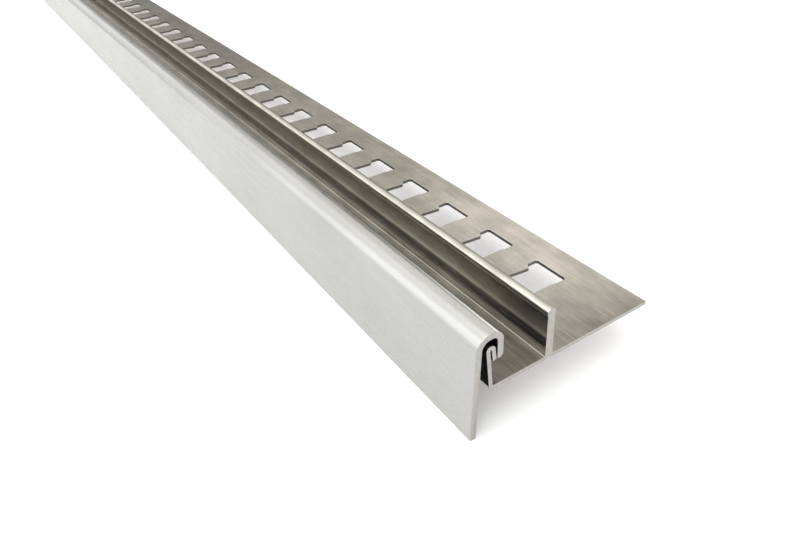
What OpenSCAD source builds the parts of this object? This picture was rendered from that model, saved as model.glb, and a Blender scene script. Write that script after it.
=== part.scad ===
// U-channel slope profile for a walk-in shower: a folded stainless base profile with a glass
// channel and a perforated anchoring flange, and a cover clipped over the channel's front upstand.
// The cover's skirt is a wedge: its lower edge rises towards the far end, as the floor beside it does.
// The section is drawn level, with the flange's top face at height 0 and the fin's rear face at 0.
// It is then laid down as it rests on a level floor, on the skirt's near corner and the base's far edge.
// The near end is at -Y. +X points away from the cover, across the flange.

/* [Stock] */
// Length of the profile
stock_len = 1000; // [200:10:2500]

/* [Base profile] */
// Thickness of the base sheet
base_t = 1; // [0.8:0.1:1.2]
// Width of the anchoring flange, from the fin's rear face to the flange's edge
flange_w = 29; // [26:0.5:40]
// Height of the folded fin above the flange, which is the tile's thickness
fin_h = 12.5; // [8:0.5:20]
// How far the fin's rounded top stands out past each of its faces
fin_bulge = 0.15; // [0:0.05:0.3]
// Radius in the corners at the foot of the fin
fin_root_r = 0.2; // [0.1:0.05:0.5]
// Depth of the groove under the fin, where its two layers part
fin_groove = 0.6; // [0.3:0.1:0.8]
// Clear width of the glass channel's floor
channel_w = 14.2; // [12:0.2:24]
// Height of the upstand above the channel's floor
upstand_h = 10.8; // [9:0.2:18]
// Angle by which the upstand leans away from the channel
upstand_lean = 4.5; // [0:0.5:8]
// Inner radius of the bend between the floor and the upstand
upstand_r = 0.6; // [0.3:0.1:1.5]
// Width of the slit inside the upstand's hem
hem_gap = 0.3; // [0.2:0.05:0.6]
// Length of the spring lip below the hem's bend
lip_len = 3; // [2:0.1:4]
// Angle by which the spring lip opens from the upstand
lip_flare = 2; // [1:0.5:9]

/* [Anchor slots] */
// Distance from one slot to the next
slot_pitch = 19; // [17:0.5:30]
// Distance from the near end to the first slot
slot_start = 17.5; // [10:0.5:30]
// Least distance from the last slot to the far end
slot_end = 10; // [5:0.5:30]
// Distance from the flange's edge to the slots
slot_margin = 8; // [6:0.1:9]
// Length of a slot across the flange
slot_reach = 15.4; // [12:0.2:16]
// Width of a slot in its pocket, along the profile
slot_w = 10.2; // [9:0.2:12]
// Length of the pocket, between the slot's outer edge and its barbs
pocket_len = 3.9; // [3:0.1:5]
// Radius in the pocket's outer corners
pocket_r = 0.6; // [0.4:0.1:1.2]
// How far the barb on the slot's far side narrows it
barb_far = 1.4; // [0.6:0.1:2]
// How far the barb on the slot's near side narrows it
barb_near = 0.4; // [0.2:0.1:1]
// Length of a barb's slanting front
barb_ramp = 0.7; // [0.3:0.1:1]
// Angle by which each of the slot's sides opens towards the fin
slot_flare = 8; // [0:1:9]

/* [Clip-on cover] */
// Thickness of the cover sheet
cover_t = 1.5; // [1:0.1:1.5]
// Angle by which the skirt's face leans out towards its foot
skirt_lean = 4; // [2:0.5:7]
// Height of the skirt's lower edge above the flange's top face, at the far end
skirt_far_z = 7.3; // [0:0.1:8]
// Fall of the floor that the skirt's lower edge follows, in percent of the length
floor_fall = 2; // [0.5:0.1:3]
// Inner radius of the shoulder above the skirt
shoulder_r = 2.1; // [1.2:0.1:2.3]
// Inner radius of the bend above the hook
hook_r = 1.1; // [0.5:0.1:1.3]
// Clear height between the hem and the cover's top
cover_lift = 1.7; // [1:0.1:3]
// Clearance between the hem and the skirt's inner face
skirt_gap = 1.1; // [0.9:0.1:2]
// Length of the hook's leg, below the cover's top face
hook_len = 7.2; // [6.2:0.1:8]
// Radius on the channel side of the hook's tip
hook_tip_r = 1; // [0.4:0.1:1]
// Clearance between the spring lip's tip and the hook
clip_gap = 0.15; // [0.05:0.05:0.3]

/* [Hidden] */
$fn = 64;

// The fin is two layers of the base sheet, folded flat on each other
fin_t = 2 * base_t;
channel_x = -fin_t - channel_w;
hem_r = hem_gap / 2;
hem_turn = 180 - lip_flare;

// Middle line of the upstand: where its bend ends, and how long it is up to the hem
bend_turn = 90 - upstand_lean;
bend_mid_r = upstand_r + base_t / 2;
bend_x = channel_x + upstand_r;
upstand_foot = [bend_x - bend_mid_r * sin(bend_turn), upstand_r - bend_mid_r * cos(bend_turn)];
hem_mid_r = hem_r + base_t / 2;
// The hem's centre stands above the foot by this much, so that the hem's top is at upstand_h
hem_rise = upstand_h - hem_r - base_t - upstand_foot[1] - hem_mid_r * sin(upstand_lean);
upstand_len = hem_rise / cos(upstand_lean);
hem_start = upstand_foot + upstand_len * [-sin(upstand_lean), cos(upstand_lean)];
hem_centre = hem_start + hem_mid_r * [cos(upstand_lean), sin(upstand_lean)];

// The spring lip's lower corner on the channel side, which the hook clips behind
lip_heading = -90 + upstand_lean + lip_flare;
lip_normal = [-sin(lip_heading), cos(lip_heading)];
lip_tip = hem_centre + (hem_r + base_t) * lip_normal + lip_len * [cos(lip_heading), sin(lip_heading)];

// Cover: its top face, its hook's inner face and its skirt's inner face
cover_top = upstand_h + cover_lift + cover_t;
hook_x = lip_tip[0] + clip_gap;
hook_centre = [hook_x - hook_r, cover_top - cover_t - hook_r];
skirt_dir = [-sin(skirt_lean), -cos(skirt_lean)];
skirt_out = [-cos(skirt_lean), sin(skirt_lean)];
skirt_face = hem_centre + (hem_r + base_t + skirt_gap) * skirt_out;
shoulder_z = cover_top - cover_t - shoulder_r;
// Centre of the shoulder's bend, at shoulder_r inside the skirt's inner face
shoulder_on_face = skirt_face - skirt_dir * (shoulder_z - skirt_face[1] - shoulder_r * -skirt_out[1])
    / cos(skirt_lean);
shoulder_centre = shoulder_on_face - shoulder_r * skirt_out;
top_len = hook_centre[0] - shoulder_centre[0];

// Height of the skirt's lower edge at the near end, and the skirt before that edge is cut, which is
// one sheet thickness longer than at the near end
skirt_rise = stock_len * floor_fall / 100;
foot_z = skirt_far_z - skirt_rise;
shoulder_end = shoulder_centre + shoulder_r * skirt_out;
skirt_len = (shoulder_end[1] - foot_z + cover_t) / cos(skirt_lean);

// Outer corner of the skirt's lower edge at the near end
shoulder_out = shoulder_end + cover_t * skirt_out;
skirt_tip_x = shoulder_out[0] - (shoulder_out[1] - foot_z) * tan(skirt_lean);

// Resting pose: the pitch that brings the lowest edges of the two ends level
near_low_z = min(-base_t, foot_z);
far_low_z = min(-base_t, skirt_far_z);
rest_pitch = atan((far_low_z - near_low_z) / stock_len);
rest_z = near_low_z * cos(rest_pitch) + stock_len / 2 * sin(rest_pitch);
rest_middle = [(skirt_tip_x + flange_w) / 2, (near_low_z + cover_top) / 2 * sin(rest_pitch)];

// Anchor slots
slot_x = flange_w - slot_margin;
barb_x = slot_x - pocket_len;
slot_inner_x = slot_x - slot_reach;
slot_count = floor((stock_len - slot_start - slot_w - slot_end) / slot_pitch) + 1;

// Straight leg of a folded sheet along +x, with the children at its end
module leg(t, length) {
    translate([0, -t / 2]) square([length, t]);
    translate([length, 0]) children();
}

// Bend of a folded sheet with inner radius r, turning right through the angle, with the
// children at its end
module bend(t, r, turn) {
    reach = 2 * (r + t);
    translate([0, -r - t / 2]) {
        intersection() {
            difference() {
                circle(r + t);
                circle(r);
            }
            polygon(concat([[0, 0]], [for (i = [0:4]) reach * [sin(turn * i / 4), cos(turn * i / 4)]]));
        }
        rotate(-turn) translate([0, r + t / 2]) children();
    }
}

// Folded fin: two closed layers with a rounded top, turned out into the flange and the floor
module fin_section() {
    top_r = base_t + fin_bulge;
    translate([-fin_t, fin_groove - base_t]) square([fin_t, fin_h - top_r + base_t - fin_groove]);
    translate([-base_t, fin_h - top_r]) circle(top_r);
    for (side = [-1, 1])
        translate([-base_t + side * (base_t + fin_root_r), fin_root_r])
            rotate(side > 0 ? 180 : 270)
                intersection() {
                    difference() {
                        circle(base_t + fin_root_r);
                        circle(fin_root_r);
                    }
                    square(base_t + fin_root_r);
                }
}

// Section of the base sheet, from the flange's edge to the spring lip
module base_section() {
    translate([fin_root_r, -base_t]) square([flange_w - fin_root_r, base_t]);
    fin_section();
    floor_len = channel_w - fin_root_r - upstand_r;
    translate([-fin_t - fin_root_r, -base_t / 2]) rotate(180)
        leg(base_t, floor_len)
            bend(base_t, upstand_r, bend_turn)
                leg(base_t, upstand_len)
                    bend(base_t, hem_r, hem_turn)
                        leg(base_t, lip_len);
}

// Outline of one anchor slot, with x across the flange and y along the profile
module slot_outline() {
    side_len = barb_x - slot_inner_x;
    spread = side_len * tan(slot_flare);
    half = slot_w / 2;
    translate([barb_x + barb_ramp, -half]) square([pocket_len - barb_ramp - pocket_r, slot_w]);
    translate([barb_x + barb_ramp, -half + pocket_r])
        square([pocket_len - barb_ramp, slot_w - 2 * pocket_r]);
    for (y = [-half + pocket_r, half - pocket_r]) translate([slot_x - pocket_r, y]) circle(pocket_r);
    polygon([
        [barb_x + barb_ramp, -half], [barb_x + barb_ramp, half],
        [barb_x, half - barb_far], [slot_inner_x, half - barb_far + spread],
        [slot_inner_x, -half + barb_near - spread], [barb_x, -half + barb_near]
    ]);
}

// Section of the cover sheet, from its flat top down to the hook's tip and down to the skirt's foot
module cover_section() {
    translate([shoulder_centre[0], cover_top - cover_t / 2]) {
        leg(cover_t, top_len)
            bend(cover_t, hook_r, 90)
                hook_leg(hook_len - cover_t - hook_r);
        mirror([1, 0])
            bend(cover_t, shoulder_r, 90 - skirt_lean)
                leg(cover_t, skirt_len);
    }
}

// Hook's leg, rounded on the channel side of its tip
module hook_leg(length) {
    translate([0, -cover_t / 2]) {
        square([length - hook_tip_r, cover_t]);
        square([length, cover_t - hook_tip_r]);
        translate([length - hook_tip_r, cover_t - hook_tip_r]) intersection() {
            circle(hook_tip_r);
            square(hook_tip_r);
        }
    }
}

// Carries a level section along the profile's length
module along_profile() {
    translate([0, stock_len / 2, 0]) rotate([90, 0, 0]) linear_extrude(stock_len) children();
}

// Block whose top is the skirt's lower edge, rising towards the far end. It ends short of the hook.
module below_lower_edge() {
    reach = stock_len / 2 + cover_t;
    overrun = cover_t * skirt_rise / stock_len;
    low_z = foot_z - 3 * cover_t;
    block_w = shoulder_centre[0] - skirt_tip_x + cover_t;
    translate([skirt_tip_x - cover_t, 0, 0]) rotate([90, 0, 90]) linear_extrude(block_w) polygon([
        [-reach, low_z], [reach, low_z], [reach, skirt_far_z + overrun], [-reach, foot_z - overrun]
    ]);
}

// Lays the level profile down as it rests, centred over the origin
module laid_down() {
    translate([-rest_middle[0], -rest_middle[1], -rest_z]) rotate([-rest_pitch, 0, 0]) children();
}

module base_profile() {
    color([0.70, 0.68, 0.65]) laid_down() difference() {
        along_profile() base_section();
        for (i = [0:slot_count - 1])
            translate([0, -stock_len / 2 + slot_start + slot_w / 2 + i * slot_pitch, -2 * base_t])
                linear_extrude(3 * base_t) slot_outline();
    }
}

module clip_on_cover() {
    color([0.80, 0.80, 0.79]) laid_down() difference() {
        along_profile() cover_section();
        below_lower_edge();
    }
}

base_profile();
clip_on_cover();
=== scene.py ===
"""U-channel slope profile: a folded, slotted base sheet and a wedge-shaped cover clipped over it.

The sections are drawn level, as in the CAD source: x runs across from the fin's rear face, z up
from the flange's top face, y along the length from its middle. Each piece is then pitched to its
resting pose.
"""

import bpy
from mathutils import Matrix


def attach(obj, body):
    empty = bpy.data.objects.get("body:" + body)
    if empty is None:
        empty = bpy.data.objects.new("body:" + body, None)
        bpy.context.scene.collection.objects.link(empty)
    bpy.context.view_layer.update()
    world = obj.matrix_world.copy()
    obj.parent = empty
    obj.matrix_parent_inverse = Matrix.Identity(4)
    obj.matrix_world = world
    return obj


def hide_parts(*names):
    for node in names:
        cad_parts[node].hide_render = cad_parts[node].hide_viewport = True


bl_info = {
    "name": "U-channel slope profile",
    "version": (1, 0, 0),
    "blender": (4, 5, 0),
    "location": "3D View > Sidebar > Slope Profile",
    "description": "Folded stainless slope profile with glass channel, slotted flange and cover",
    "category": "Object",
}

import bmesh
import bpy
import numpy as np
from mathutils import Euler, Vector
from mathutils.geometry import delaunay_2d_cdt

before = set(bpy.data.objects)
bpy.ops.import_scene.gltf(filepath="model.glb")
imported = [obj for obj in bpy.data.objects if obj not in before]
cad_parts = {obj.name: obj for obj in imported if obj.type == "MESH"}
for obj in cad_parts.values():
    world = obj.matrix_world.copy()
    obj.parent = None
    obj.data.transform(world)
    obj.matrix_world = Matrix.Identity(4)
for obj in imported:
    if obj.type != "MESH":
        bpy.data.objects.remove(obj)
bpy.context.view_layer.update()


def millimetres(value, name, description):
    """A length property, given in millimetres and kept in metres."""
    return bpy.props.FloatProperty(name=name, description=description, default=value / 1000,
                                   min=0.0, unit="LENGTH", precision=5)


def degrees(value, name, description):
    """An angle property, given in degrees and kept in radians."""
    return bpy.props.FloatProperty(name=name, description=description, default=np.radians(value),
                                   unit="ROTATION")


def colour(value, name, description):
    """A colour property, given and kept as an sRGB hex value."""
    return bpy.props.StringProperty(name=name, description=description, default=value)


class BaseSheetSizes(bpy.types.PropertyGroup):
    """Sizes of the folded base sheet and its slots."""
    stock_len: millimetres(1000, "Length", "Length of the profile")
    sheet_t: millimetres(1, "Sheet", "Thickness of the base sheet")
    flange_w: millimetres(29, "Flange", "Width of the anchoring flange from the fin's rear face")
    fin_h: millimetres(12.5, "Fin height", "Height of the folded fin above the flange")
    fin_bulge: millimetres(0.15, "Fin bulge", "How far the fin's rounded top stands past each face")
    fin_root_r: millimetres(0.2, "Fin root", "Radius in the corners at the foot of the fin")
    fin_groove: millimetres(0.6, "Fin groove", "Depth of the groove under the fin")
    channel_w: millimetres(14.2, "Channel", "Clear width of the glass channel's floor")
    upstand_h: millimetres(10.8, "Upstand height", "Height of the upstand above the channel floor")
    upstand_lean: degrees(4.5, "Upstand lean", "Angle of the upstand's lean away from the channel")
    upstand_r: millimetres(0.6, "Upstand bend", "Inner radius of the bend from floor to upstand")
    hem_gap: millimetres(0.3, "Hem slit", "Width of the slit inside the upstand's hem")
    lip_len: millimetres(3, "Lip", "Length of the spring lip below the hem's bend")
    lip_flare: degrees(2, "Lip flare", "Angle by which the spring lip opens from the upstand")
    slot_pitch: millimetres(19, "Slot pitch", "Distance from one slot to the next")
    slot_start: millimetres(17.5, "Slot start", "Distance from the near end to the first slot")
    slot_end: millimetres(10, "Slot end", "Least distance from the last slot to the far end")
    slot_margin: millimetres(8, "Slot margin", "Distance from the flange's edge to the slots")
    slot_reach: millimetres(15.4, "Slot reach", "Length of a slot across the flange")
    slot_w: millimetres(10.2, "Slot width", "Width of a slot in its pocket")
    pocket_len: millimetres(3.9, "Pocket", "Length of the pocket from the outer edge to the barbs")
    pocket_r: millimetres(0.6, "Pocket corner", "Radius in the pocket's outer corners")
    barb_far: millimetres(1.4, "Far barb", "How far the barb on the slot's far side narrows it")
    barb_near: millimetres(0.4, "Near barb", "How far the barb on the slot's near side narrows it")
    barb_ramp: millimetres(0.7, "Barb ramp", "Length of a barb's slanting front")
    flare_far: degrees(6, "Far flare", "Angle by which the slot's far side opens to the fin")
    flare_near: degrees(0, "Near flare", "Angle by which the slot's near side opens to the fin")
    punch_roll: millimetres(0.1, "Punch roll", "Radius drawn by the punch over a slot's top edge")
    edge_r: millimetres(0.12, "Slit edge", "Radius along the sheet's slit and punched edges")
    end_r: millimetres(0.1, "Sawn end",
                       "Radius along the edges of the sawn ends, smaller than the slit edge")


class CoverSizes(bpy.types.PropertyGroup):
    """Sizes of the clipped-on cover sheet."""
    sheet_t: millimetres(1.5, "Sheet", "Thickness of the cover sheet")
    skirt_lean: degrees(4, "Skirt lean", "Angle by which the skirt leans out towards its foot")
    skirt_far_z: millimetres(7.3, "Far edge",
                             "Height of the skirt's lower edge above the flange at the far end")
    floor_fall: bpy.props.FloatProperty(
        name="Fall", default=2.0, min=0.0, subtype="PERCENTAGE",
        description="Fall of the floor that the skirt's lower edge follows")
    shoulder_r: millimetres(2.1, "Shoulder", "Inner radius of the shoulder above the skirt")
    hook_r: millimetres(1.1, "Hook bend", "Inner radius of the bend above the hook")
    cover_lift: millimetres(1.7, "Lift", "Clear height between the hem and the cover's top")
    skirt_gap: millimetres(1.1, "Skirt gap", "Clearance between the hem and the skirt's inner face")
    hook_len: millimetres(7.2, "Hook", "Length of the hook's leg below the cover's top face")
    hook_tip_r: millimetres(1, "Hook tip", "Radius on the channel side of the hook's tip")
    clip_gap: millimetres(0.15, "Clip gap", "Clearance between the spring lip's tip and the hook")


class FinishColours(bpy.types.PropertyGroup):
    """Colours of the metal's finishes and of the stage."""
    base_steel: colour("BCB7AF", "Base steel", "Longitudinally brushed stainless sheet of the base")
    base_shade: colour("A8A59D", "Base shade", "Darker clouds in the base sheet's brushing")
    cover_steel: colour("AEAEAC", "Cover steel", "Satin-ground stainless sheet of the cover")
    cover_shade: colour("A8A8A5", "Cover shade", "Darker clouds in the cover sheet's grind")
    cut_steel: colour("AAA8A3", "Cut edge", "Bare metal of the sawn ends and the slit edges")
    # the slots' walls: torn metal, made darker still as painted shade
    punched_shaded_steel: colour("77736D", "Punched edge", "Torn metal of the slots' walls")
    floor_white: colour("F4F4F4", "Floor", "Plain pale floor and backdrop")


MM = 0.001

# how far from a bend, end or slot the extra row of points stands that keeps a flat's own normal
BEND_GUARD, END_GUARD, SLOT_GUARD = 0.00012, 0.00015, 0.0001
# points closer than the first are merged, and edges shorter than the second are dissolved
MERGED, SLIVER = 1e-7, 1e-8
# least length that is divided by
NO_ZERO = 1e-12
# corners sharper than this between two faces stay sharp
SHARP_ANGLE = np.radians(32)

# the cells around the slots begin this far behind the fin and end this far from the flange's edge
CELL_START, CELL_END = 0.0008, 0.0006
# points along a slot's long sides and across its ends, with the corners counted in both
LONG_POINTS, SHORT_POINTS = 11, 9
# radius in a slot's inner corners, and half the length of the bevels at its barbs
INNER_CORNER_R, BARB_BEVEL = 0.0004, 0.00015

# which of its piece's materials a face takes
SHEET_FACE, SAWN_FACE, PUNCHED_FACE = 0, 1, 2

# painted bands of shade and reflection on the fin's face in the channel, height in mm: share of
# brightness
FIN_PAINTED_BANDS = {0: -0.5, 1.5: -0.45, 1.9: -0.6, 2.4: -0.85, 4.4: -0.85, 4.9: -0.6, 5.2: 0.1,
             5.6: 0.7, 6.2: 0.3, 7.2: 0, 8: 0}
# distances in mm from the fin where the channel's floor has points to carry its finish
FLOOR_POINTS = (1.0, 2.5, 4.0)


def linear(hex_value, alpha=1.0):
    """sRGB hex value to linear: c / 12.92 up to 0.04045, else ((c + 0.055) / 1.055) ** 2.4."""
    c = np.array([int(hex_value[i:i + 2], 16) for i in (0, 2, 4)]) / 255
    c = np.where(c <= 0.04045, c / 12.92, ((c + 0.055) / 1.055) ** 2.4)
    return (*c.tolist(), alpha)


# ---------------------------------------------------------------- shapes

def polar(degrees_):
    """Unit vector at an angle from +x."""
    a = np.radians(degrees_)
    return np.array([np.cos(a), np.sin(a)])


class Fold:
    """The section's derived points, worked out from the sizes as in the CAD source."""

    def __init__(self, b, c):
        t, lean = b.sheet_t, np.degrees(b.upstand_lean)
        self.lean = lean
        self.fin_t = 2 * t
        self.bend = np.array([-self.fin_t - b.channel_w + b.upstand_r, b.upstand_r])
        self.hem_r = b.hem_gap / 2
        # the upstand's middle line runs from its bend up to the hem, whose top is at upstand_h
        foot = self.bend + (b.upstand_r + t / 2) * polar(180 + lean)
        mid_r = self.hem_r + t / 2
        rise = b.upstand_h - self.hem_r - t - foot[1] - mid_r * np.sin(b.upstand_lean)
        self.hem = foot + rise / np.cos(b.upstand_lean) * polar(90 + lean) + mid_r * polar(lean)
        self.lip_angle = lean + np.degrees(b.lip_flare)
        self.lip_dir = polar(self.lip_angle - 90)
        self.lip_tip = (self.hem + (self.hem_r + t) * polar(self.lip_angle)
                        + b.lip_len * self.lip_dir)
        # cover: hook behind the lip's tip, shoulder above the hem, skirt down to its cut edge
        self.skirt_angle = 180 - np.degrees(c.skirt_lean)
        out = polar(self.skirt_angle)
        self.top = b.upstand_h + c.cover_lift + c.sheet_t
        self.hook_x = self.lip_tip[0] + c.clip_gap
        self.hook = np.array([self.hook_x - c.hook_r, self.top - c.sheet_t - c.hook_r])
        face = self.hem + (self.hem_r + t + c.skirt_gap) * out
        shoulder_z = self.top - c.sheet_t - c.shoulder_r
        centre_x = (face[0] + (shoulder_z - face[1]) * np.tan(c.skirt_lean)
                    + c.shoulder_r / np.cos(c.skirt_lean))
        self.shoulder = np.array([centre_x, shoulder_z])
        self.foot_z = c.skirt_far_z - b.stock_len * c.floor_fall / 100
        # a point of the skirt's inner and outer face at height 0, for the slanted faces' lines
        self.inner_x = (centre_x - c.shoulder_r / np.cos(c.skirt_lean)
                        - shoulder_z * np.tan(c.skirt_lean))
        self.outer_x = self.inner_x - c.sheet_t / np.cos(c.skirt_lean)
        # resting pose: lowest edges of the two ends brought level, as the profile lies on a floor
        near, far = min(-t, self.foot_z), min(-t, c.skirt_far_z)
        self.pitch = np.arctan((far - near) / b.stock_len)
        self.rest_z = near * np.cos(self.pitch) + b.stock_len / 2 * np.sin(self.pitch)
        tip_x = self.outer_x + self.foot_z * np.tan(c.skirt_lean)
        self.middle = np.array([(tip_x + b.flange_w) / 2,
                                (near + self.top) / 2 * np.sin(self.pitch)])

    def laid_down(self, p):
        """Level points to resting pose: turned by the pitch about X, then moved over the origin."""
        s, k = np.sin(self.pitch), np.cos(self.pitch)
        return np.stack([p[..., 0] - self.middle[0], p[..., 1] * k + p[..., 2] * s - self.middle[1],
                         p[..., 2] * k - p[..., 1] * s - self.rest_z], -1)


def walk(arcs):
    """Outline of arcs (centre, radius, first angle, last angle, points) joined by straight lines.

    A point of an arc is centre + radius * (cos a, sin a). The metal is on the outline's left.
    """
    return np.concatenate([np.asarray(c) + r * polar(np.linspace(a, z, n)).T
                           for c, r, a, z, n in arcs])


def single_point(x, z):
    """A single point of an outline, as an arc without a radius."""
    return (x, z), 0, 0, 0, 1


def guarded(points, closed):
    """Adds a point close to each end of the long straights, so that flats keep their normals."""
    start = points if closed else points[:-1]
    end = np.roll(points, -1, 0) if closed else points[1:]
    run = end - start
    size = np.hypot(*run.T)[:, None]
    step = run / np.maximum(size, NO_ZERO) * BEND_GUARD
    spread = np.stack([start, start + step, end - step], 1)
    long_run = size[:, 0] > 4 * BEND_GUARD
    kept = spread[np.stack([np.ones_like(long_run), long_run, long_run], 1)]
    return kept if closed else np.r_[kept, points[-1:]]


def outward(points):
    """Mitred outward normals of a closed outline with the metal on its left.

    The normal at a point is the sum of its two runs' normals, over half that sum's square, so that
    a step along it moves both runs by the same distance. The divisor is at least 0.3, which holds
    sharp points back.
    """
    run = np.roll(points, -1, 0) - points
    run /= np.maximum(np.hypot(*run.T)[:, None], NO_ZERO)
    n = np.stack([run[:, 1], -run[:, 0]], 1)
    both = n + np.roll(n, 1, 0)
    return both / np.maximum((both * both).sum(1)[:, None] / 2, 0.3)


def grid_faces(rows, columns, first=0, closed=False):
    """Quads of a grid of vertices, numbered row by row."""
    i = np.arange(rows - 1)[:, None] * columns
    j = np.arange(columns if closed else columns - 1)[None]
    k = (j + 1) % columns
    return first + np.stack([i + j, i + columns + j, i + columns + k, i + k], -1).reshape(-1, 4)


def end_rings(stock_len, r):
    """Distances along y and insets of the rings that round both ends.

    y = r (1 - cos a) and inset = r (1 - sin a). One more ring just behind them keeps the long
    flats' own normals.
    """
    a = np.radians([0, 45, 90])
    y, inset = np.r_[r * (1 - np.cos(a)), r + END_GUARD], np.r_[r * (1 - np.sin(a)), 0]
    half = stock_len / 2
    return (-half + y, inset), (half - y[::-1], inset[::-1])


def end_cap(ring, first, near):
    """Triangles that close an end, by constrained Delaunay triangulation of the ring's outline."""
    # 1 keeps the triangles inside the outline, and points within 1e-9 would count as one
    _, _, triangles, source, _, _ = delaunay_2d_cdt([Vector(p) for p in ring.tolist()], [],
                                                    [list(range(len(ring)))], 1, 1e-9)
    index = first + np.array([s[0] for s in source])
    return index[np.array(triangles)][:, ::1 if near else -1]


def new_piece(name, vertices, quads, caps, materials, face_kind, tone, node):
    mesh = bpy.data.meshes.new(name)
    mesh.from_pydata(vertices.tolist(), [], quads.tolist() + caps.tolist())
    # tone: each point's painted light and shade, as a share of brightness
    mesh.attributes.new("tone", "FLOAT", "POINT").data.foreach_set("value", tone.astype(np.float32))
    kinds = np.r_[face_kind, np.full(len(caps), SAWN_FACE)]
    mesh.polygons.foreach_set("material_index", kinds.astype(np.int32))
    mesh.polygons.foreach_set("use_smooth", np.arange(len(mesh.polygons)) < len(quads))
    for m in materials:
        mesh.materials.append(m)
    bm = bmesh.new()
    bm.from_mesh(mesh)
    bmesh.ops.remove_doubles(bm, verts=bm.verts, dist=MERGED)
    bmesh.ops.dissolve_degenerate(bm, edges=bm.edges, dist=SLIVER)
    bm.to_mesh(mesh)
    bm.free()
    mesh.set_sharp_from_angle(angle=SHARP_ANGLE)
    # the brushing's direction: u along the length, v across it with a share of z, for upright faces
    co = np.empty(len(mesh.vertices) * 3, np.float32)
    mesh.vertices.foreach_get("co", co)
    loop = np.empty(len(mesh.loops), np.int32)
    mesh.loops.foreach_get("vertex_index", loop)
    co = co.reshape(-1, 3)[loop]
    uv = mesh.uv_layers.new(name="brushing")
    uv.data.foreach_set("uv", np.stack([co[:, 1], co[:, 0] + 0.37 * co[:, 2]], 1).ravel())
    mesh.validate()
    obj = bpy.data.objects.new(name, mesh)
    bpy.context.scene.collection.objects.link(obj)
    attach(obj, "root")
    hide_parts(node)


def base_tone(b, p):
    """Shares by which the sheet is brighter or duller than the plain flange at each level point.

    The tone is the sum of share * zone, all painted light and shade. A zone is a product of steps
    of x, y and z, each eased by 3 s^2 - 2 s^3, with their borders in mm. On the fin's face in the
    channel it
    follows the painted bands by height: a dark foot and a dark line 2 to 5 mm up, painted shade,
    and a bright one above it, a painted reflection.
    """
    def eased(value, start, stop):
        """0 up to start and 1 from stop on, both in mm."""
        s = np.clip((value - start * MM) / ((stop - start) * MM), 0, 1)
        return s * s * (3 - 2 * s)

    level, along = p[..., 2], p[..., 1] + b.stock_len / 2
    # x and z are taken from the middle of the fin's rounded top
    x, z = p[..., 0] + b.sheet_t, level - b.fin_h + b.sheet_t + b.fin_bulge
    on_fin = np.abs(x) < 1.3 * b.sheet_t
    inside = (x < -b.sheet_t + 0.01 * MM) * (level > -0.01 * MM) * eased(z, 0.2, -0.4)
    face = inside * eased(x, -1.3, -1.02) * eased(level, 0.05, 0.2)
    channel = inside - face
    flange = eased(x, 0, 3) * (np.abs(level) < 0.1 * MM)
    zones = (
        # the fin's top, brighter as a painted highlight, a dark line behind it, painted shade where
        # it meets the flange, and painted shade on its neck
        (0.3, on_fin * eased(z, -0.5, 0.5)),
        (-1.05, on_fin * eased(x, 0.1, 0.35) * eased(z, 0, 0.3)),
        (-0.75, on_fin * eased(z, -0.75, -0.6) * eased(z, 0.1, -0.15)),
        # the channel, brighter as painted light lifting its shaded reflections, its floor beside
        # the fin, brighter still as painted light, and the upstand's hidden side, darker as painted
        # shade
        (0.25, channel),
        (0.55, inside * eased(x, -6.5, -3) * eased(level, 0.15, 0.02)),
        (-0.75, eased(x + level * np.tan(b.upstand_lean), -15.5, -15.9) * eased(level, 10, 8.5)),
        # the near end of the fin's face, of the channel, most of all beside the upstand,
        # and of the flange, darker as a painted reflection
        (-0.1, face * eased(along, 40, 0)),
        (-0.2, channel * eased(along, 30, 12)),
        (-0.7, channel * eased(along, 30, 12) * eased(x, -3.5, -5)),
        (-0.3, flange * eased(along, 16, 2)),
        # the flange's outer side, brighter 20 to 70 mm from the near end, and its outer strip,
        # darker from 170 mm on, both painted reflection
        (0.5, flange * eased(x, 8, 24) * eased(along, 3, 22) * eased(along, 90, 50)),
        (-0.25, flange * eased(x, 17, 21) * eased(along, 170, 250)))
    bands = np.interp(level / MM, list(FIN_PAINTED_BANDS), list(FIN_PAINTED_BANDS.values()))
    return bands * face + sum(share * zone for share, zone in zones)


def base_path(b, f, seam_x):
    """Open section of the base sheet from the flange's top, over the fin, through the channel, over
    the hem and back along the underside, as arcs joined by straight lines."""
    t, root, e = b.sheet_t, b.fin_root_r, b.edge_r
    top_r = t + b.fin_bulge
    tuck = np.degrees(np.arccos(t / top_r))
    groove = np.degrees(np.arcsin((t + root - b.fin_groove) / (t + root)))
    lip_in = f.hem + f.hem_r * polar(f.lip_angle) + b.lip_len * f.lip_dir
    across, back = e * polar(f.lip_angle), e * -f.lip_dir
    right, left = (root, root), (-f.fin_t - root, root)
    # from the top down, the fin's face has a point at each band above its foot
    heights = sorted(FIN_PAINTED_BANDS, reverse=True)[:-1]
    return walk([
        single_point(seam_x, 0),
        (right, root, 270, 180, 5),
        ((-t, b.fin_h - top_r), top_r, -tuck, 180 + tuck, 37),
        *(single_point(-f.fin_t, height * MM) for height in heights),
        (left, root, 0, -90, 5),
        *(single_point(-f.fin_t - distance * MM, 0) for distance in FLOOR_POINTS),
        (f.bend, b.upstand_r, -90, -180 + f.lean, 9),
        (f.hem, f.hem_r, 180 + f.lean, f.lip_angle, 9),
        (lip_in + across + back, e, f.lip_angle + 180, f.lip_angle + 270, 4),
        (f.lip_tip - across + back, e, f.lip_angle + 270, f.lip_angle + 360, 4),
        (f.hem, f.hem_r + t, f.lip_angle, 180 + f.lean, 25),
        (f.bend, b.upstand_r + t, -180 + f.lean, -90, 13),
        (left, t + root, -90, -groove, 7),
        (right, t + root, 180 + groove, 270, 7),
        single_point(seam_x, -t)])


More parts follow.
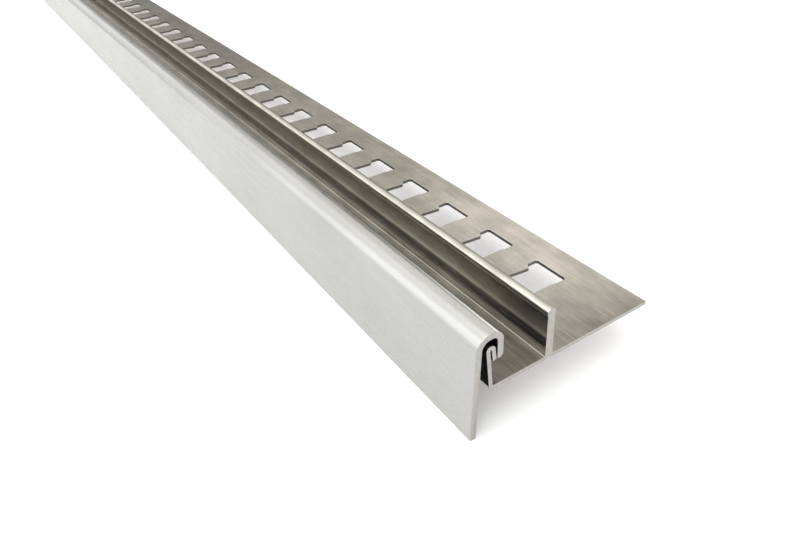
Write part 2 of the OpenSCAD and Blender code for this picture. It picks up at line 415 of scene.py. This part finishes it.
def slot_sides(b):
    """The four sides of a slot's outline about its middle, anticlockwise, each with its corners."""
    half, r = b.slot_w / 2, b.pocket_r
    x_out = b.flange_w - b.slot_margin
    x_in, barb_x = x_out - b.slot_reach, x_out - b.pocket_len

    def side(sign, barb, flare):
        """One long side: inner corner, flared run, barb and ramp, pocket and half of its corner."""
        inner = np.array([x_in, sign * (half - barb + (barb_x - x_in) * np.tan(flare))])
        centre_in = inner + [INNER_CORNER_R,
                             -sign * INNER_CORNER_R * (1 - np.sin(flare)) / np.cos(flare)]
        run_in = centre_in + INNER_CORNER_R * polar(sign * (90 - np.degrees(flare)))
        barb_top = np.array([barb_x, sign * (half - barb)])
        ramp_end = np.array([barb_x + b.barb_ramp, sign * half])
        along = (barb_top - run_in) / np.hypot(*(barb_top - run_in))
        up = (ramp_end - barb_top) / np.hypot(*(ramp_end - barb_top))
        centre = np.array([x_out - r, sign * (half - r)])
        return np.array([
            centre_in + INNER_CORNER_R * polar(sign * 135), run_in, (run_in + barb_top) / 2,
            barb_top - BARB_BEVEL * along, barb_top + BARB_BEVEL * up,
            ramp_end - BARB_BEVEL * up, ramp_end + [BARB_BEVEL, 0],
            *(centre + r * polar(sign * a) for a in (90, 75, 60, 45))])

    near, far = side(-1, b.barb_near, b.flare_near), side(1, b.barb_far, b.flare_far)
    centre_near, centre_far = np.array([x_out - r, -half + r]), np.array([x_out - r, half - r])
    outer = np.concatenate([centre_near + r * polar(np.array([-45, -30, -15, 0])).T, [[x_out, 0]],
                            centre_far + r * polar(np.array([0, 15, 30, 45])).T])
    # the points along the inner end keep 12 percent of it clear of its corners
    between = SHORT_POINTS - 2
    shares = np.linspace(0.12, 0.88, between)
    inner_y = far[0, 1] + (near[0, 1] - far[0, 1]) * shares
    inner = np.concatenate([far[:1], np.c_[np.full(between, x_in), inner_y], near[:1]])
    return near, outer, far[::-1], inner


def slot_cells(b, centres, x0, x1):
    """One band of faces around each slot: from the cell's rectangle on top to the slot's edge, over
    the punch roll, down the wall and out to the rectangle below. Layer k is outline + normal * d[k]
    at height z[k]."""
    outline = np.concatenate([side[:-1] for side in slot_sides(b)])
    n = outward(outline)
    # the rectangle has as many points as the outline: spread like the slot's along the long sides,
    # and gathered in the corners, where they merge, across the short ones
    h, span = b.slot_pitch / 2, x1 - x0
    xs = np.interp(np.linspace(0, 1, LONG_POINTS), [0, 0.3, 0.75, 1],
                   [x0, x0 + 0.35 * span, x0 + 0.8 * span, x1])
    first = SHORT_POINTS // 2 + 1
    ys = np.repeat([-h, h], [first, SHORT_POINTS - first])
    rect = np.concatenate([
        np.c_[xs, np.full(LONG_POINTS, -h)][:-1], np.c_[np.full(SHORT_POINTS, x1), ys][:-1],
        np.c_[xs[::-1], np.full(LONG_POINTS, h)][:-1], np.c_[np.full(SHORT_POINTS, x0), -ys][:-1]])
    roll, e, t = b.punch_roll, b.edge_r, b.sheet_t
    a = np.radians([30, 60])
    d = np.r_[roll + SLOT_GUARD, roll, roll * (1 - np.sin(a)), 0, 0, e, e + SLOT_GUARD]
    z = np.r_[0, 0, -roll * (1 - np.cos(a)), -roll, -t + e, -t, -t]
    rings = np.concatenate([rect[None], outline[None] + d[:, None, None] * n[None], rect[None]])
    layers, count = len(rings), len(outline)
    points = np.empty((len(centres), layers, count, 3))
    points[..., 0] = rings[None, ..., 0]
    points[..., 1] = rings[None, ..., 1] + centres[:, None, None]
    points[..., 2] = np.r_[0, z, -t][None, :, None]
    one = grid_faces(layers, count, closed=True)[:, [0, 3, 2, 1]]
    faces = (one[None] + np.arange(len(centres))[:, None, None] * layers * count).reshape(-1, 4)
    kind = np.repeat([SHEET_FACE] * 4 + [PUNCHED_FACE] * 3 + [SHEET_FACE] * 2, count)
    return points.reshape(-1, 3), faces, np.tile(kind, len(centres)), xs


def base_sheet(b, f):
    """Vertices, quads, caps, face kinds and tone of the base sheet: two plain end lengths, and
    between them the folded strip, the flange's edge strip and one cell per slot."""
    x0, x1 = CELL_START, b.flange_w - CELL_END
    half, t, e = b.stock_len / 2, b.sheet_t, b.edge_r
    count = int((b.stock_len - b.slot_start - b.slot_w - b.slot_end) // b.slot_pitch) + 1
    centres = -half + b.slot_start + b.slot_w / 2 + np.arange(count) * b.slot_pitch
    cells, cell_faces, cell_kind, xs = slot_cells(b, centres, x0, x1)
    fold = guarded(base_path(b, f, x0), False)
    edge = guarded(walk([single_point(x1, -t), ((b.flange_w - e, -t + e), e, 270, 360, 4),
                         ((b.flange_w - e, -e), e, 0, 90, 4), single_point(x1, 0)]), False)
    inner_xs = xs[1:-1]
    low = np.c_[inner_xs, np.full_like(inner_xs, -t)]
    top = np.c_[inner_xs[::-1], np.zeros_like(inner_xs)]
    ring = np.concatenate([fold, low, edge, top])
    lines = np.r_[centres - b.slot_pitch / 2, centres[-1] + b.slot_pitch / 2]
    (near_y, near_in), (far_y, far_in) = end_rings(b.stock_len, b.end_r)
    parts, faces, kinds, caps, total = [], [], [], [], 0
    for ys, insets, section, is_end in (
            (np.r_[near_y, lines[0]], np.r_[near_in, 0], ring, True),
            (np.r_[lines[-1], far_y], np.r_[0, far_in], ring, True),
            (lines, np.zeros(len(lines)), fold, False),
            (lines, np.zeros(len(lines)), edge, False)):
        # rings of the section: section - normal * inset at each y, and only the ends have insets
        normals = outward(section) if is_end else np.zeros_like(section)
        p = section[None] - normals[None] * insets[:, None, None]
        grid = np.stack([p[..., 0], np.broadcast_to(ys[:, None], p.shape[:2]), p[..., 1]], -1)
        rows, columns = grid.shape[:2]
        quads = grid_faces(rows, columns, total, is_end)
        kind = np.full((rows - 1, len(quads) // (rows - 1)), SHEET_FACE)
        if is_end:
            kind[insets[1:] != insets[:-1]] = SAWN_FACE
            near = insets[0] > 0
            last = 0 if near else rows - 1
            caps.append(end_cap(grid[last][:, [0, 2]], total + last * columns, near))
        parts.append(grid.reshape(-1, 3))
        faces.append(quads)
        kinds.append(kind.ravel())
        total += rows * columns
    points = np.concatenate([*parts, cells])
    return (f.laid_down(points), np.concatenate([*faces, cell_faces + total]), np.concatenate(caps),
            np.concatenate([*kinds, cell_kind]), base_tone(b, points))


def cover_tone(b, c, f, section):
    """How much brighter or duller than the skirt the cover is around its section, in shares.

    The faces that look inwards are darker, at -0.5, as painted shade. The bent top is brighter,
    as a painted highlight, by 0.6 times the cube of its height above the shoulder's centre over the
    outer radius, and over the hook's bend that fades to -0.45, as painted shade.
    """
    t, outer_r = c.sheet_t, c.shoulder_r + c.sheet_t
    off = section - f.shoulder
    depth = np.where(off[:, 1] > 0, np.hypot(*off.T), off @ polar(f.skirt_angle))
    hidden = ((depth < c.shoulder_r + t / 2) & (section[:, 0] < f.hook_x + b.edge_r)
              & (section[:, 1] < f.top - t / 2))
    raised = np.clip(off[:, 1] / outer_r, 0, 1) * ~hidden
    bend = np.clip((section[:, 0] - f.hook[0]) / (c.hook_r + t), 0, 1) * ~hidden
    return 0.6 * raised ** 3 * (1 - bend) - 0.45 * bend - 0.5 * hidden


def cover_sheet(b, c, f):
    """Vertices, quads, caps, face kinds and tone of the cover: its section carried along the
    length. Only the skirt's foot rises, evenly: foot = section + rise(y) * (tan lean, 1)."""
    t, e, r_in, r_hook = c.sheet_t, b.edge_r, c.shoulder_r, c.hook_r
    out, lean = polar(f.skirt_angle), np.tan(c.skirt_lean)
    foot = f.foot_z + e
    out_x = f.outer_x + f.foot_z * lean + e * (1 + out[1]) / -out[0]
    in_x = f.inner_x + f.foot_z * lean - e * (1 - out[1]) / -out[0]
    tip_z = f.top - c.hook_len
    tip_x = f.hook_x + t
    section = guarded(walk([
        ((out_x, foot), e, f.skirt_angle, 270, 4),
        ((in_x, foot), e, 270, 180 + f.skirt_angle, 4),
        (f.shoulder, r_in, f.skirt_angle, 90, 13),
        (f.hook, r_hook, 90, 0, 9),
        ((f.hook_x + e, tip_z + e), e, 180, 270, 4),
        ((tip_x - c.hook_tip_r, tip_z + c.hook_tip_r), c.hook_tip_r, 270, 360, 9),
        (f.hook, r_hook + t, 0, 90, 25),
        (f.shoulder, r_in + t, 90, f.skirt_angle, 31)]), True)
    is_foot = section[:, 1] < f.foot_z + 3 * e
    (near_y, near_in), (far_y, far_in) = end_rings(b.stock_len, b.end_r)
    ys, insets = np.r_[near_y, far_y], np.r_[near_in, far_in]
    p = section[None] - outward(section)[None] * insets[:, None, None]
    rise = (ys + b.stock_len / 2) * c.floor_fall / 100
    lift = rise[:, None] * is_foot[None]
    grid = np.stack([p[..., 0] + lift * lean, np.broadcast_to(ys[:, None], p.shape[:2]),
                     p[..., 1] + lift], -1)
    rows, columns = grid.shape[:2]
    quads = grid_faces(rows, columns, closed=True)
    kind = np.full((rows - 1, columns), SHEET_FACE)
    kind[insets[1:] != insets[:-1]] = SAWN_FACE
    caps = np.concatenate([end_cap(grid[0][:, [0, 2]], 0, True),
                           end_cap(grid[-1][:, [0, 2]], (rows - 1) * columns, False)])
    tone = np.tile(cover_tone(b, c, f, section), rows)
    return f.laid_down(grid.reshape(-1, 3)), quads, caps, kind.ravel(), tone


# ---------------------------------------------------------------- finishes

# a Mix node's sockets: its factor, its two numbers and its two colours
MIX_SHARE, NUMBER_A, NUMBER_B, COLOUR_A, COLOUR_B = 0, 2, 3, 6, 7
# depth of the scratches and saw marks
SCRATCH_DEPTH = 0.00002


def add_node(tree, kind, inputs=(), **settings):
    """Adds a node with its settings; inputs maps a socket to a value or another node's output."""
    new = tree.nodes.new(kind)
    for name, value in settings.items():
        setattr(new, name, value)
    for socket, value in dict(inputs).items():
        if isinstance(value, bpy.types.NodeSocket):
            tree.links.new(value, new.inputs[socket])
        else:
            new.inputs[socket].default_value = value
    return new


def empty_material(name):
    """A new node material with only its output."""
    m = bpy.data.materials.new(name)
    m.use_nodes = True
    m.node_tree.nodes.clear()
    return m, m.node_tree, add_node(m.node_tree, "ShaderNodeOutputMaterial")


def brushed_stainless(name, steel, shade, cloud_mm, streaks, scratches, roughness, anisotropy):
    """Stainless sheet brushed along its length with a belt.

    The scratches of a 180 grit belt are about 0.08 mm wide, which is too fine to show here, so they
    are drawn 0.2 mm wide and 9 mm long, in tracks 0.9 mm wide where a worn grain ran deeper. They
    streak the brightness and roughness and drag the reflections across the brushing. Clouds of
    cloud_mm are where the belt pressed unevenly, and a few bright scratches are from handling.
    Metal keeps the default IOR.
    """
    m, tree, out = empty_material(name)
    coord = add_node(tree, "ShaderNodeTexCoord")

    def drawn(across_mm, along_mm, detail, low, high):
        """Noise stretched along the length, from 0 below low to 1 above high."""
        place = add_node(tree, "ShaderNodeMapping", {"Vector": coord.outputs["Object"],
                         "Scale": (1000 / across_mm, 1000 / along_mm, 1000 / across_mm)})
        noise = add_node(tree, "ShaderNodeTexNoise", {"Vector": place.outputs[0], "Scale": 1.0,
                         "Detail": detail})
        stepped = add_node(tree, "ShaderNodeMapRange", {"Value": noise.outputs[0], "From Min": low,
                           "From Max": high})
        return stepped.outputs[0]

    grain = drawn(0.2, 9, detail=2.0, low=0.3, high=0.7)
    track = drawn(0.9, 70, detail=1.0, low=0.32, high=0.68)
    cloud = drawn(cloud_mm, 1.8 * cloud_mm, detail=6.0, low=0.36, high=0.64)
    flaw = drawn(0.28, 5, detail=0.0, low=0.7, high=0.78)
    # 35 parts of track to 65 of grain
    lines = add_node(tree, "ShaderNodeMix", {MIX_SHARE: 0.35, NUMBER_A: grain, NUMBER_B: track})
    tint = add_node(tree, "ShaderNodeMix", {MIX_SHARE: cloud, COLOUR_A: linear(steel),
                    COLOUR_B: linear(shade)}, data_type="RGBA")
    # gain on the steel's colour = 1 + tone + streaks (0.5 - lines) + scratches * flaw, where tone
    # is the piece's painted light and shade
    painted_light = add_node(tree, "ShaderNodeAttribute", attribute_name="tone")
    gain = add_node(tree, "ShaderNodeMath", {0: painted_light.outputs["Fac"], 1: 1.0 + streaks / 2},
                    operation="ADD")
    gain = add_node(tree, "ShaderNodeMath", {0: lines.outputs[0], 1: -streaks, 2: gain.outputs[0]},
                    operation="MULTIPLY_ADD")
    gain = add_node(tree, "ShaderNodeMath", {0: flaw, 1: scratches, 2: gain.outputs[0]},
                    operation="MULTIPLY_ADD")
    tint = add_node(tree, "ShaderNodeVectorMath", {0: tint.outputs[2], 3: gain.outputs[0]},
                    operation="SCALE")
    rough = add_node(tree, "ShaderNodeMapRange", {"Value": lines.outputs[0],
                     "To Min": roughness - 0.04, "To Max": roughness + 0.06})
    bump = add_node(tree, "ShaderNodeBump", {"Height": lines.outputs[0], "Strength": 0.1,
                    "Distance": SCRATCH_DEPTH})
    along = add_node(tree, "ShaderNodeTangent", direction_type="UV_MAP", uv_map="brushing")
    steel_bsdf = add_node(tree, "ShaderNodeBsdfPrincipled", {
        "Base Color": tint.outputs[0], "Metallic": 1.0, "Roughness": rough.outputs[0],
        "Anisotropic": anisotropy, "Normal": bump.outputs[0], "Tangent": along.outputs[0]})
    tree.links.new(steel_bsdf.outputs[0], out.inputs[0])
    return m


def cut_stainless(name, steel, roughness):
    """Sawn end or punched wall of the sheet: bare metal, with fine marks 0.3 mm apart and 4 mm
    long, and duller spots 0.4 to 0.6 mm wide, where the tool tore it."""
    m, tree, out = empty_material(name)
    coord = add_node(tree, "ShaderNodeTexCoord")

    def torn(across_mm, high_mm, detail):
        """Noise of one size across and another in height."""
        place = add_node(tree, "ShaderNodeMapping", {"Vector": coord.outputs["Object"],
                         "Scale": (1000 / across_mm, 1000 / across_mm, 1000 / high_mm)})
        noise = add_node(tree, "ShaderNodeTexNoise", {"Vector": place.outputs[0], "Scale": 1.0,
                         "Detail": detail})
        return noise.outputs[0]

    marks, spots = torn(4.0, 0.3, detail=2.0), torn(0.4, 0.6, detail=3.0)
    rough = add_node(tree, "ShaderNodeMapRange", {"Value": marks, "From Min": 0.3, "From Max": 0.7,
                     "To Min": roughness - 0.08, "To Max": roughness + 0.08})
    bump = add_node(tree, "ShaderNodeBump", {"Height": marks, "Strength": 0.25,
                    "Distance": SCRATCH_DEPTH})
    share = add_node(tree, "ShaderNodeMapRange", {"Value": spots, "From Min": 0.35,
                     "From Max": 0.65})
    bright = linear(steel)
    dull = (*(0.84 * c for c in bright[:3]), 1.0)
    tint = add_node(tree, "ShaderNodeMix", {MIX_SHARE: share.outputs[0], COLOUR_A: bright,
                    COLOUR_B: dull}, data_type="RGBA")
    bsdf = add_node(tree, "ShaderNodeBsdfPrincipled", {
        "Base Color": tint.outputs[2], "Metallic": 1.0, "Roughness": rough.outputs[0],
        "Normal": bump.outputs[0]})
    tree.links.new(bsdf.outputs[0], out.inputs[0])
    return m


# ---------------------------------------------------------------- stage

def lay_floor(scene):
    """Paper: its diffuse takes the object's shadow, and a little light of its own, for camera,
    mirror and see-through rays, lifts the lit part to white."""
    mesh = bpy.data.meshes.new("floor")
    r = 6.0
    mesh.from_pydata([(-r, -r, 0), (r, -r, 0), (r, r, 0), (-r, r, 0)], [], [(0, 1, 2, 3)])
    floor = bpy.data.objects.new("floor", mesh)
    scene.collection.objects.link(floor)
    m, tree, out = empty_material("white_paper")
    path = add_node(tree, "ShaderNodeLightPath")
    seen = add_node(tree, "ShaderNodeMath", {0: path.outputs["Is Camera Ray"],
                    1: path.outputs["Is Glossy Ray"]}, operation="MAXIMUM")
    seen = add_node(tree, "ShaderNodeMath", {0: seen.outputs[0],
                    1: path.outputs["Is Transmission Ray"]}, operation="MAXIMUM")
    glow = add_node(tree, "ShaderNodeMath", {0: seen.outputs[0], 1: 0.1}, operation="MULTIPLY")
    paper = add_node(tree, "ShaderNodeBsdfDiffuse",
                     {"Color": linear(scene.finish_colours.floor_white)})
    lift = add_node(tree, "ShaderNodeEmission", {"Color": (1, 1, 1, 1),
                    "Strength": glow.outputs[0]})
    both = add_node(tree, "ShaderNodeAddShader", {0: paper.outputs[0], 1: lift.outputs[0]})
    tree.links.new(both.outputs[0], out.inputs[0])
    mesh.materials.append(m)


def light_studio(scene):
    """A studio around the object, plain white to the camera, and a large soft lamp over the cover.

    Its colours depend on direction: X across to the flange's side, Y to the far end and Z up.
    """
    world = bpy.data.worlds.new("studio")
    scene.world = world
    world.use_nodes = True
    tree = world.node_tree
    tree.nodes.clear()
    out = add_node(tree, "ShaderNodeOutputWorld")
    coord = add_node(tree, "ShaderNodeTexCoord")
    split = add_node(tree, "ShaderNodeSeparateXYZ", {0: coord.outputs["Generated"]})

    def ramp(axis, start, stop):
        """0 to 1, eased, as the direction's component goes from start to stop."""
        return add_node(tree, "ShaderNodeMapRange", {"Value": split.outputs[axis],
                        "From Min": start, "From Max": stop},
                        interpolation_type="SMOOTHSTEP").outputs[0]

    def blend(share, low, high):
        """Colour that goes from low to high with the share."""
        return add_node(tree, "ShaderNodeMix", {MIX_SHARE: share, COLOUR_A: low, COLOUR_B: high},
                        data_type="RGBA").outputs[2]

    # far wall and cover's side: a cream wall that is grey at its foot, and a bright one to the left
    far_wall = blend(ramp("Z", 0.02, 0.12), (0.25, 0.25, 0.24, 1), (1.15, 1.14, 1.12, 1))
    left_wall = blend(ramp("X", -0.35, -0.6), far_wall, (2.0, 2.0, 1.99, 1))
    # flange's side: grey at its foot, cream half way up and duller above, with a low bright light
    # that reaches under the flange
    right_wall = blend(ramp("Z", 0.2, 0.6), (0.2, 0.205, 0.2, 1), (1.12, 1.08, 1.02, 1))
    right_wall = blend(ramp("Z", 0.58, 0.66), right_wall, (0.75, 0.72, 0.68, 1))
    low = add_node(tree, "ShaderNodeMath", {0: ramp("X", 0.7, 0.85), 1: ramp("Z", 0.45, 0.3)},
                   operation="MULTIPLY")
    right_wall = blend(low.outputs[0], right_wall, (3.0, 3.0, 2.97, 1))
    # cream ceiling over both, and behind the camera a half that is brighter on the cover's side
    sides = blend(ramp("X", 0.0, 0.2), left_wall, right_wall)
    far_half = blend(ramp("Z", 0.68, 0.85), sides, (1.25, 1.235, 1.21, 1))
    near_half = blend(ramp("X", -0.3, 0.3), (2.0, 2.0, 1.98, 1), (0.7, 0.7, 0.69, 1))
    walls = blend(ramp("Y", 0.1, -0.3), far_half, near_half)
    path = add_node(tree, "ShaderNodeLightPath")
    shown = blend(path.outputs["Is Camera Ray"], walls, (1, 1, 1, 1))
    sky = add_node(tree, "ShaderNodeBackground", {"Color": shown, "Strength": 1.0})
    tree.links.new(sky.outputs[0], out.inputs[0])

    data = bpy.data.lights.new("key_lamp", "AREA")
    data.size, data.energy = 2.6, 22.0
    lamp = bpy.data.objects.new("key_lamp", data)
    place, aim = (-0.7, -0.6, 2.4), (0, -0.45, 0)
    lamp.location = place
    away = np.array(place) - np.array(aim)
    tilt, yaw = np.arctan2(np.hypot(away[0], away[1]), away[2]), np.arctan2(away[0], -away[1])
    lamp.rotation_euler = (tilt, 0, yaw)
    scene.collection.objects.link(lamp)


def set_camera(scene):
    """The photograph's camera, fitted to the near end's section, the long edges and the slots."""
    data = bpy.data.cameras.new("photo_view")
    data.sensor_width, data.lens = 36.0, 30.914
    data.clip_start, data.clip_end = 0.01, 20.0
    camera = bpy.data.objects.new("photo_view", data)
    camera.location = (-0.084826, -0.575352, 0.113481)
    camera.rotation_euler = Euler(np.radians([54.3754, 3.2253, -33.3208]), "XYZ")
    scene.collection.objects.link(camera)
    scene.camera = camera


# ---------------------------------------------------------------- operators

def sizes(context):
    """The size and colour groups, and the section worked out from them."""
    b, c = context.scene.base_sheet_sizes, context.scene.cover_sizes
    return b, c, context.scene.finish_colours, Fold(b, c)


class OBJECT_OT_base_sheet(bpy.types.Operator):
    """Folded base sheet with the glass channel, the fin and the slotted flange"""
    bl_idname = "object.slope_profile_base"
    bl_label = "Base sheet"

    def execute(self, context):
        b, c, hues, f = sizes(context)
        brushed = brushed_stainless("stainless_brushed_base", hues.base_steel, hues.base_shade,
                                    cloud_mm=5, streaks=0.3, scratches=0.25, roughness=0.3,
                                    anisotropy=0.5)
        cut = cut_stainless("stainless_cut_base", hues.cut_steel, roughness=0.38)
        # the slots' walls: the torn metal's own dullness, darkened further as painted shade
        punched = cut_stainless("stainless_punched_shaded_base", hues.punched_shaded_steel, roughness=0.5)
        vertices, quads, caps, kind, tone = base_sheet(b, f)
        new_piece("base_sheet", vertices, quads, caps, (brushed, cut, punched), kind, tone,
                  "base_profile")
        return {"FINISHED"}


class OBJECT_OT_cover_sheet(bpy.types.Operator):
    """Cover sheet with the wedge-shaped skirt, the shoulder and the hook"""
    bl_idname = "object.slope_profile_cover"
    bl_label = "Cover sheet"

    def execute(self, context):
        b, c, hues, f = sizes(context)
        ground = brushed_stainless("stainless_satin_cover", hues.cover_steel, hues.cover_shade,
                                   cloud_mm=25, streaks=0.05, scratches=0.0, roughness=0.28,
                                   anisotropy=0.35)
        cut = cut_stainless("stainless_cut_cover", hues.cut_steel, roughness=0.38)
        vertices, quads, caps, kind, tone = cover_sheet(b, c, f)
        new_piece("cover_sheet", vertices, quads, caps, (ground, cut), kind, tone,
                  "clip_on_cover")
        return {"FINISHED"}


class OBJECT_OT_stage(bpy.types.Operator):
    """White floor, soft studio light and the photograph's camera"""
    bl_idname = "object.slope_profile_stage"
    bl_label = "Stage"

    def execute(self, context):
        scene = context.scene
        lay_floor(scene)
        light_studio(scene)
        set_camera(scene)
        scene.view_settings.view_transform = "Standard"
        return {"FINISHED"}


class VIEW3D_PT_slope_profile(bpy.types.Panel):
    """Sizes, colours and pieces of the slope profile"""
    bl_label = "Slope Profile"
    bl_space_type = "VIEW_3D"
    bl_region_type = "UI"
    bl_category = "Slope Profile"

    def draw(self, context):
        for holder in GROUPS:
            group, box = getattr(context.scene, holder), self.layout.box()
            for name in type(group).__annotations__:
                box.prop(group, name)
        for operator in OPERATORS:
            self.layout.operator(operator.bl_idname)


GROUPS = {"base_sheet_sizes": BaseSheetSizes, "cover_sizes": CoverSizes,
          "finish_colours": FinishColours}
OPERATORS = (OBJECT_OT_stage, OBJECT_OT_base_sheet, OBJECT_OT_cover_sheet)


def register():
    for name, group in GROUPS.items():
        bpy.utils.register_class(group)
        setattr(bpy.types.Scene, name, bpy.props.PointerProperty(type=group))
    for kind in (*OPERATORS, VIEW3D_PT_slope_profile):
        bpy.utils.register_class(kind)


def unregister():
    for kind in (VIEW3D_PT_slope_profile, *reversed(OPERATORS)):
        bpy.utils.unregister_class(kind)
    for name, group in reversed(GROUPS.items()):
        delattr(bpy.types.Scene, name)
        bpy.utils.unregister_class(group)


def main():
    """Makes the stage and both pieces."""
    register()
    bpy.ops.object.slope_profile_stage()
    bpy.ops.object.slope_profile_base()
    bpy.ops.object.slope_profile_cover()


if __name__ == "__main__":
    main()
